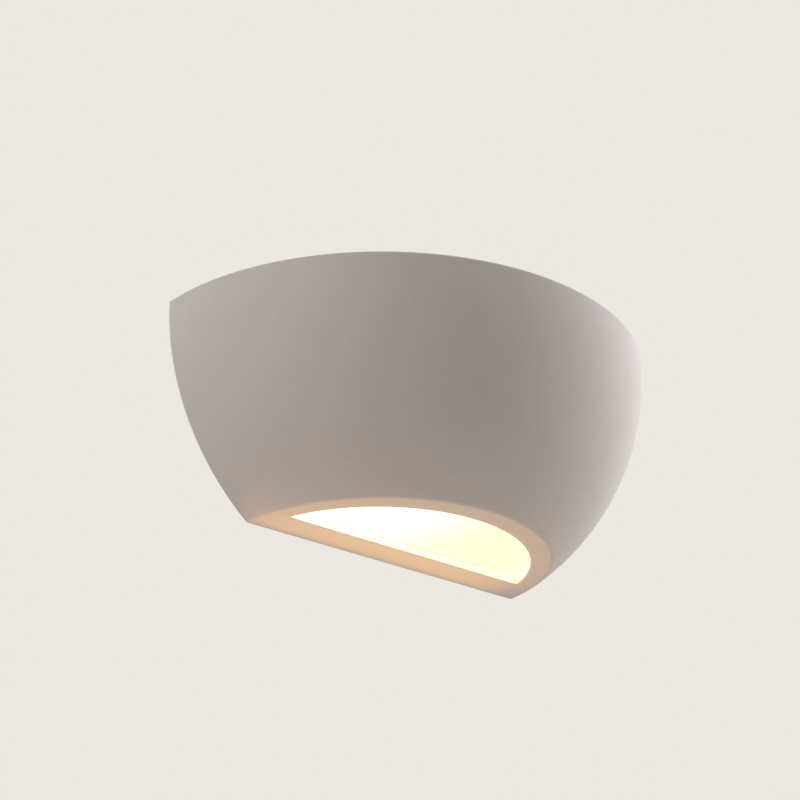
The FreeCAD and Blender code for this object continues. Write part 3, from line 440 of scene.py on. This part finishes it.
# ---- lampholder -----------------------------------------------------------------------------
# White porcelain, turned, dipped in glaze and fired. The thread shell is rolled from thin
# nickel-plated sheet, and a sprung brass strip behind it touches the bulb's end.

def porcelain():
    finish = Finish("porcelain", roughness=0.16, coat_weight=0.5, coat_roughness=0.06,
                    specular_ior_level=0.5)
    glaze = finish.noise(14 * MM, 3.0)
    fired = finish.mix(glaze, (0.80, 0.785, 0.735), (0.75, 0.73, 0.67))
    iron = finish.between(finish.specks(5 * MM), 0.055, 0.025)
    finish.set(base_color=finish.mix(iron * 0.7, fired, (0.22, 0.16, 0.11)))
    finish.relief(finish.noise(4 * MM) * (0.05 * MM))
    return finish


def nickel(name, tint):
    finish = Finish(name, metallic=1.0)
    fog = finish.noise(5 * MM, 4.0)
    hair = finish.noise(0.35 * MM, 1.0, (14, 1, 1))
    dull = tuple(part * 0.72 for part in tint)
    finish.set(base_color=finish.mix(finish.between(fog, 0.45, 0.75), tint, dull),
               roughness=0.22 + fog * 0.14 + hair * 0.06)
    finish.relief(hair * (0.003 * MM))
    return finish


porcelain().dress("lampholder_body")

THREAD_PITCH = 3.629 * MM


def rolled_wave(along, angle):
    """Height of a rolled round thread, from -1 in its valley to 1 on its crest."""
    return math.cos(2 * math.pi * along / THREAD_PITCH - angle)


def thread_shell():
    """A thin sleeve with a rolled thread inside and a flat rim turned in at its far end."""
    low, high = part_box("lampholder_shell")
    centre = (low + high) / 2
    clearance = 0.02 * MM
    outside = (high.z - low.z) / 2 - clearance
    bore = 13.275 * MM
    depth = 0.19 * MM
    rim_hole = 10.5 * MM
    sheet = 0.45 * MM
    lead = 1.5 * MM
    steps = 96
    slices = 84
    run = high.x - low.x - sheet

    def ring(along, radius):
        return turned_ring(0, along, radius, centre, steps)

    def groove(i):
        along = low.x + run * i / slices
        fade = min(1.0, (along - low.x) / lead, (low.x + run - along) / lead)
        return along, lambda angle: bore + depth * (1 + fade * rolled_wave(along, angle))

    rings = [ring(high.x, rim_hole), ring(high.x - sheet, rim_hole)]
    rings += [ring(*groove(i)) for i in range(slices, -1, -1)]
    rings += [ring(low.x, outside), ring(high.x, outside)]
    loft("rolled_thread_shell", rings + [rings[0]], nickel("shell_nickel", (0.70, 0.67, 0.61)),
         "shell_metal", "bracket", "lampholder_shell", sharp=50)


thread_shell()


# ---- bulb -----------------------------------------------------------------------------------
# A screw-cap bulb with a white moulded housing and an opal globe. Behind the globe a ring of
# diodes sits on an aluminium board; the driver board stands behind that, inside the housing.

def screw_cap():
    """Drawn sheet with a rolled thread, closed at its end by the black insulator."""
    low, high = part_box("bulb_screw_cap")
    centre = (low + high) / 2
    crest = (high.z - low.z) / 2
    depth = 0.50 * MM
    wall = 0.55 * MM
    collar = 3.0 * MM
    lead = 1.5 * MM
    run_out = 0.6 * MM
    shoulder = 2.0 * MM
    taper = 2.0 * MM
    rounding = ((0.0, 1.0), (0.30, 0.62), (0.75, 0.30))
    steps = 120
    slices = 110
    thread_end = high.x - shoulder - run_out

    def ring(along, radius):
        return turned_ring(0, along, radius, centre, steps)

    def groove(i):
        along = low.x + (thread_end - low.x) * i / slices
        fade = min(1.0, max(0.0, (along - low.x - collar) / lead), (thread_end - along) / lead)
        return along, lambda angle: crest - depth * (1 - fade * rolled_wave(along, angle))

    rings = [ring(high.x, crest - taper - wall)]
    rings += [ring(high.x - shoulder * back, crest - taper * inwards)
              for back, inwards in rounding]
    rings += [ring(*groove(i)) for i in range(slices, -1, -1)]
    rings += [ring(low.x, crest - depth - wall), ring(high.x - shoulder, crest - taper - wall)]
    loft("threaded_screw_cap", rings + [rings[0]], nickel("cap_nickel", (0.72, 0.71, 0.69)),
         "bulb_cap_metal", "bulb", "bulb_screw_cap", sharp=50)


def bulb_plastic():
    finish = Finish("bulb_plastic", specular_ior_level=0.45)
    haze = finish.noise(18 * MM, 3.0)
    finish.set(base_color=finish.mix(haze, (0.82, 0.82, 0.80), (0.77, 0.765, 0.745)),
               roughness=0.40 + haze * 0.14)
    finish.relief(finish.noise(0.6 * MM) * (0.008 * MM))
    return finish


def opal_globe():
    """Opal plastic, lit from behind and a little brighter opposite the ring of diodes."""
    finish = Finish("opal_globe", base_color=(0.45, 0.43, 0.40), roughness=0.32,
                    emission_strength=1.3)
    low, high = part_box("bulb_diffuser")
    along = finish.add("SeparateXYZ", {}, {0: finish.place})
    front = finish.between(along, high.x, low.x)
    milk = finish.noise(9 * MM, 2.0)
    finish.set(emission_color=finish.mix(front * 0.8 + milk * 0.2,
                                         (0.95, 0.68, 0.40), (1.0, 0.80, 0.54)))
    return finish


def diode_board():
    """White solder mask on aluminium; whatever stands above it is a yellow diode."""
    finish = Finish("diode_board", roughness=0.35)
    low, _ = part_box("bulb_led_board")
    diode_base = low.x + 0.70 * MM
    mask_level = low.x + 0.75 * MM
    along = finish.add("SeparateXYZ", {}, {0: finish.place})
    diode = finish.between(along, mask_level, diode_base)
    mask = finish.mix(finish.noise(3 * MM), (0.82, 0.82, 0.80), (0.74, 0.74, 0.72))
    finish.set(base_color=finish.mix(diode, mask, (0.85, 0.70, 0.16)))
    return finish


def driver_board():
    """Green solder mask over copper tracks."""
    finish = Finish("driver_board", roughness=0.3)
    tracks = finish.between(finish.noise(2.2 * MM, 0.0, (0.35, 1, 1)), 0.50, 0.54)
    finish.set(base_color=finish.mix(tracks, (0.015, 0.105, 0.040), (0.045, 0.215, 0.075)))
    finish.relief(tracks * (0.03 * MM))
    return finish


def cap_glass():
    finish = Finish("cap_glass", roughness=0.10, coat_weight=0.4)
    swirl = finish.noise(3 * MM, 4.0)
    finish.set(base_color=finish.mix(swirl, (0.010, 0.010, 0.012), (0.035, 0.032, 0.032)))
    return finish


screw_cap()
cap_glass().dress("bulb_cap_insulator")
nickel("bulb_tip", (0.72, 0.71, 0.69)).dress("bulb_centre_contact")
bulb_plastic().dress("bulb_housing")
opal_globe().dress("bulb_diffuser")
diode_board().dress("bulb_led_board")
driver_board().dress("bulb_driver_board")


# ---- plaster shade --------------------------------------------------------------------------
# A half bowl cast in gypsum plaster with its floor, its pads and the D-shaped opening. The
# mould leaves it smooth; it is rubbed down by hand and left matt, with a few fine pinholes.

def cast_plaster():
    finish = Finish("cast_plaster", specular_ior_level=0.25)
    cloud = finish.noise(70 * MM, 2.0)
    mottle = finish.noise(9 * MM, 4.0)
    grain = finish.noise(0.55 * MM, 3.0)
    rubbed = finish.noise(26 * MM, 3.0)
    pinholes_with_painted_shade = finish.between(finish.specks(7 * MM), 0.060, 0.030)
    warm = (0.800, 0.750, 0.726)
    cool = (0.782, 0.742, 0.728)
    body = finish.mix(finish.between(cloud, 0.35, 0.65), warm, cool)
    body = finish.mix(finish.between(mottle, 0.40, 0.75) * 0.35, body, (0.755, 0.710, 0.690))
    # Each pinhole is sunk into the relief and also painted darker: painted shade inside it.
    finish.set(base_color=finish.mix(pinholes_with_painted_shade * 0.30, body, (0.42, 0.38, 0.35)),
               roughness=0.86 + mottle * 0.10)
    finish.relief(grain * (0.020 * MM) + rubbed * (0.16 * MM) - pinholes_with_painted_shade * (0.12 * MM))
    return finish


cast_plaster().dress("plaster_shade")
brass("insert_brass", (0.76, 0.57, 0.30), (0.52, 0.38, 0.20)).dress(
    "shade_insert_left", "shade_insert_right")


# ---- glass pane -----------------------------------------------------------------------------
# Float glass, ground to the D and frosted on both faces, which lies loose on the opening's
# lip. Its lower face has the bulb's light painted on as a glow, brightest round one patch
# beside the globe, and a darker base colour.

def frosted_glass():
    finish = Finish("frosted_glass", roughness=0.5, specular_ior_level=0.5,
                    emission_strength=1.0)
    low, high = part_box("glass_pane")
    globe_low, globe_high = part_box("bulb_diffuser")
    globe = (globe_low + globe_high) / 2
    brightest = (globe.x - 27 * MM, globe.y, low.z)
    bright_radius = 22 * MM
    dim_radius = 100 * MM
    above = high.z - 0.4 * MM
    below = low.z + 0.6 * MM
    away = finish.add("VectorMath", {"operation": "DISTANCE"}, {0: finish.place, 1: brightest}, 1)
    far = finish.between(away, bright_radius, dim_radius)
    height = finish.add("SeparateXYZ", {}, {0: finish.place}, 2)
    under = finish.between(height, above, below)
    # Painted light: the lower face's emission is the bulb's light painted on, and that face also
    # gets a darker base colour.
    glow = finish.mix(far, (1.0, 0.98, 0.94), (0.72, 0.70, 0.47))
    finish.set(base_color=finish.mix(under, (0.80, 0.82, 0.80), (0.42, 0.43, 0.41)),
               emission_color=finish.mix(under, (0.10, 0.095, 0.08), glow))
    finish.relief(finish.noise(0.8 * MM, 3.0) * (0.01 * MM))
    return finish


frosted_glass().dress("glass_pane")


# ---- thumbscrews ----------------------------------------------------------------------------
# Turned brass with a straight knurl. The plain collar seats on the bracket's ear, and the
# threaded shank runs into the insert that is cast into the shade.

thumb_brass = brass("thumb_brass", (0.83, 0.63, 0.34), (0.62, 0.45, 0.24))


def thumbscrew(side, where):
    """One thumbscrew, from its dished face to its threaded end; side is 1 for the right."""
    low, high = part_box(f"thumbscrew_{where}")
    centre = (low + high) / 2
    back = low.x if side > 0 else high.x
    length = high.x - low.x
    head = (high.z - low.z) / 2
    head_length = 8.0 * MM
    bevel = 1.0 * MM
    run_out = bevel * 0.9
    dish = 0.5 * MM
    dish_floor = head * 0.55
    dish_edge = head * 0.62
    teeth = 44
    tooth = 0.45 * MM
    collar = 5.5 * MM
    collar_length = 2.0 * MM
    shank = 2.0 * MM
    pitch = 0.7 * MM
    thread = 0.30 * MM
    tip = 0.004 * MM
    steps = teeth * 4
    start = head_length + collar_length
    slices = round((length - start) / pitch * 6)

    def knurl(angle):
        return head - tooth * (0.5 - 0.5 * math.cos(teeth * angle))

    def groove(i):
        along = start + (length - start) * i / slices
        fade = min(1.0, (length - along) / pitch, (along - start) / pitch)
        return along, lambda angle: shank - thread * (
            1 - fade * (0.5 + 0.5 * math.cos(2 * math.pi * along / pitch - side * angle)))

    profile = [(dish, tip), (dish, dish_floor), (0.0, dish_edge), (0.0, head - bevel),
               (run_out, head - tooth), (bevel, knurl), (head_length - bevel, knurl),
               (head_length - run_out, head - tooth), (head_length, head - bevel),
               (head_length, collar), (start, collar), (start, shank - thread)]
    profile += [groove(i) for i in range(slices + 1)]
    profile += [(length, tip)]
    rings = [turned_ring(0, back + side * along, radius, centre, steps)
             for along, radius in profile]
    loft(f"knurled_thumbscrew_{where}", rings, thumb_brass, "knurled_brass",
         f"{where}_thumbscrew", f"thumbscrew_{where}", sharp=30)


for side, where in ((-1, "left"), (1, "right")):
    thumbscrew(side, where)


# ---- floor, light and camera ----------------------------------------------------------------
# A plain pale floor well below the light, which fades into a plain pale surround. The lamps
# are large and soft; each is set by how bright it makes a white card that faces it.

PALE = (0.84, 0.80, 0.755)
FLOOR_LEVEL = -1.30
FLOOR_REACH = 6.0


def seen(tree):
    """1 for what the camera sees, directly or in metal and glass, and 0 for the light's rays."""
    path = tree.nodes.new("ShaderNodeLightPath")
    total = path.outputs["Is Camera Ray"]
    for other in ("Is Glossy Ray", "Is Transmission Ray"):
        join = tree.nodes.new("ShaderNodeMath")
        join.operation = "MAXIMUM"
        tree.links.new(total, join.inputs[0])
        tree.links.new(path.outputs[other], join.inputs[1])
        total = join.outputs[0]
    return total


def pale_floor():
    """A round floor, lit near the light and as pale as the surround from where it is far."""
    near = 0.6
    distant = 2.6
    least_glow = 0.55
    finish = Finish("pale_floor", base_color=(0.78, 0.745, 0.705), roughness=0.9,
                    specular_ior_level=0.1)
    glow = finish.nodes.new("ShaderNodeEmission")
    glow.inputs["Color"].default_value = (*PALE, 1.0)
    away = finish.add("VectorMath", {"operation": "LENGTH"}, {0: finish.place}, 1)
    far = finish.between(away, near, distant)
    blend = finish.nodes.new("ShaderNodeMixShader")
    in_view = Field(finish, seen(finish.material.node_tree))
    finish.feed(blend.inputs[0], (least_glow + far * (1 - least_glow)) * in_view)
    finish.links.new(finish.skin.outputs[0], blend.inputs[1])
    finish.links.new(glow.outputs[0], blend.inputs[2])
    finish.links.new(blend.outputs[0], finish.nodes["Material Output"].inputs["Surface"])
    work = bmesh.new()
    bmesh.ops.create_circle(work, cap_ends=True, radius=FLOOR_REACH, segments=96)
    mesh = bpy.data.meshes.new("floor")
    work.to_mesh(mesh)
    work.free()
    mesh.materials.append(finish.material)
    floor = bpy.data.objects.new("floor", mesh)
    floor.location = (0.0, 0.0, FLOOR_LEVEL)
    bpy.context.scene.collection.objects.link(floor)


def surround(ambient):
    """A pale surround that lights the object evenly and weakly."""
    world = bpy.data.worlds.new("surround")
    world.use_nodes = True
    bpy.context.scene.world = world
    tree = world.node_tree
    even = tree.nodes["Background"]
    even.inputs["Color"].default_value = (1.0, 0.975, 0.945, 1.0)
    even.inputs["Strength"].default_value = ambient
    shown = tree.nodes.new("ShaderNodeBackground")
    shown.inputs["Color"].default_value = (*PALE, 1.0)
    blend = tree.nodes.new("ShaderNodeMixShader")
    tree.links.new(seen(tree), blend.inputs[0])
    tree.links.new(even.outputs[0], blend.inputs[1])
    tree.links.new(shown.outputs[0], blend.inputs[2])
    tree.links.new(blend.outputs[0], tree.nodes["World Output"].inputs["Surface"])


def lamp(name, place, towards, size, level, colour):
    """A flat lamp; level is the brightness of its own face. The camera doesn't see it."""
    light = bpy.data.lights.new(name, "AREA")
    light.shape = "RECTANGLE"
    light.size, light.size_y = size
    light.energy = level * math.pi * size[0] * size[1]
    light.color = colour
    stand = bpy.data.objects.new(name, light)
    stand.location = place
    stand.rotation_mode = "QUATERNION"
    stand.rotation_quaternion = (-Vector(towards)).to_track_quat("Z", "Y")
    stand.visible_camera = False
    bpy.context.scene.collection.objects.link(stand)


def soft_lamp(name, azimuth, elevation, distance, side, level, colour):
    """A square lamp that makes a white card at the object as bright as level."""
    turn = math.radians(azimuth)
    lift = math.radians(elevation)
    way = Vector((math.sin(turn) * math.cos(lift), -math.cos(turn) * math.cos(lift),
                  math.sin(lift)))
    middle = Vector((0.0, -0.06, -0.02))
    face_level = level * math.pi * (distance / side) ** 2
    lamp(name, middle + way * distance, -way, (side, side), face_level, colour)


pale_floor()
surround(ambient=0.25)
soft_lamp("key", azimuth=73, elevation=29, distance=1.5, side=1.1, level=1.05,
          colour=(1.0, 0.995, 1.0))
soft_lamp("left_fill", azimuth=-95, elevation=25, distance=1.4, side=0.9, level=0.33,
          colour=(1.0, 0.975, 0.96))
soft_lamp("back_fill", azimuth=180, elevation=30, distance=1.5, side=1.1, level=0.40,
          colour=(1.0, 1.0, 1.0))
lamp("wall_glow", place=(-0.0125, 0.0, -0.165), towards=(0, -1, 0), size=(0.185, 0.16),
     level=1.5, colour=(1.0, 0.52, 0.12))
lamp("pane_glow", place=(0.0, -0.042, -0.0731), towards=(0, 0, -1), size=(0.166, 0.039),
     level=3.0, colour=(1.0, 0.86, 0.50))

# The camera looks up at the light from below and from its left.
lift = math.pi / 2 + 0.4465
roll = -0.0002
turn = -0.6811
camera = bpy.data.objects.new("camera", bpy.data.cameras.new("camera"))
camera.data.sensor_width = 36.0
camera.data.lens = 92.158
camera.location = (-0.69145, -0.86850, -0.50463)
camera.rotation_euler = Euler((lift, roll, turn))
bpy.context.scene.collection.objects.link(camera)
bpy.context.scene.camera = camera
bpy.context.scene.view_settings.view_transform = "Standard"
